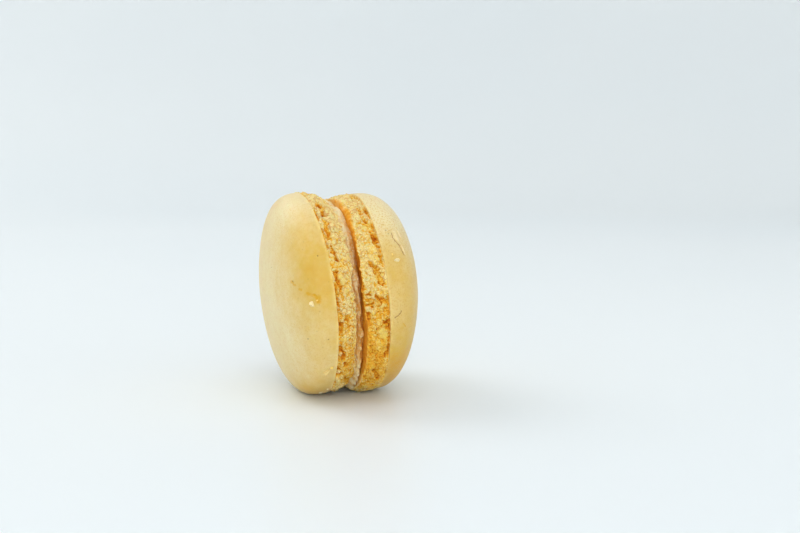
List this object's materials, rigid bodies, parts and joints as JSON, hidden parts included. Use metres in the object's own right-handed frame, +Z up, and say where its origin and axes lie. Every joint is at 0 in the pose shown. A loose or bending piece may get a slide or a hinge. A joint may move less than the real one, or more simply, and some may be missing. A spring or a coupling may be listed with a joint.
{
  "type": "french macaron",
  "caption": "Almond-meringue sandwich biscuit standing on its edge: two domed shells with ragged feet and a buttercream disc between them.",
  "frame": {"origin": "on the surface it stands on, under the middle of the macaron's box", "axes": "+Z up; the macaron's axis lies roughly along X, rising about 5 degrees towards +X, with shell_left on the -X side; the side seen in the picture is towards -Y and -X"},
  "size_m": [0.0333, 0.047, 0.0458],
  "materials": {
    "meringue": "baked meringue: smooth satin cap in pale straw yellow, coarse porous foot in golden yellow with toasted orange hollows",
    "buttercream": "soft, slightly lumpy ivory cream with a faint sheen"
  },
  "bodies": {
    "root": {"shell_left": "meringue", "shell_right": "meringue", "filling": "buttercream"}
  },
  "joints": []
}
